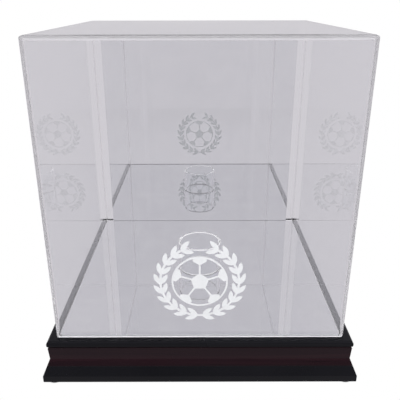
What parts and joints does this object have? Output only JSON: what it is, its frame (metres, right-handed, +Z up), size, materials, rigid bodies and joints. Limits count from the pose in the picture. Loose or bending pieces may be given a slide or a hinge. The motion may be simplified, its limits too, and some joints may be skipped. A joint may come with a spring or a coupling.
{
  "type": "football display case",
  "caption": "Clear box cover with a mirrored back, standing over a mirrored floor on a moulded wooden base, with a loose clear ring to hold a football.",
  "frame": {"origin": "centre of the base on the surface it rests on", "axes": "+Z up, -Y towards the front with the emblem, +Y towards the mirrored back"},
  "size_m": [0.306, 0.306, 0.3245],
  "materials": {
    "black_lacquer": "gloss lacquer",
    "mahogany": "gloss lacquer",
    "raw_wood": "sawn",
    "hardboard": "pressed, matte",
    "felt": "felt",
    "steel": "zinc plated",
    "mirror": "polished",
    "tape": "foam tape",
    "clear_acrylic": "clear, polished",
    "ring_acrylic": "clear, polished",
    "frosted_film": "frosted"
  },
  "bodies": {
    "base": {"top_board": "black_lacquer", "top_board_screws": "steel", "fascia_front": "mahogany", "fascia_back": "mahogany", "fascia_left": "mahogany", "fascia_right": "mahogany", "plinth_front": "black_lacquer", "plinth_back": "black_lacquer", "plinth_left": "black_lacquer", "plinth_right": "black_lacquer", "corner_block_front_left": "raw_wood", "corner_block_front_right": "raw_wood", "corner_block_back_left": "raw_wood", "corner_block_back_right": "raw_wood", "bottom_panel": "hardboard", "bottom_panel_screws": "steel", "felt_feet": "felt", "floor_mirror": "mirror"},
    "cover": {"cover": "clear_acrylic", "back_mirror": "mirror", "back_mirror_tape": "tape", "emblem": "frosted_film"},
    "ball_ring": {"ball_ring": "ring_acrylic"}
  },
  "joints": [
    {"name": "cover_lift", "type": "slide", "parent": "base", "child": "cover", "axis": [0, 0, 1], "range_m": [0, 0.3]},
    {"name": "ring_lift", "type": "slide", "parent": "base", "child": "ball_ring", "axis": [0, 0, 1], "range_m": [0, 0.05]}
  ]
}
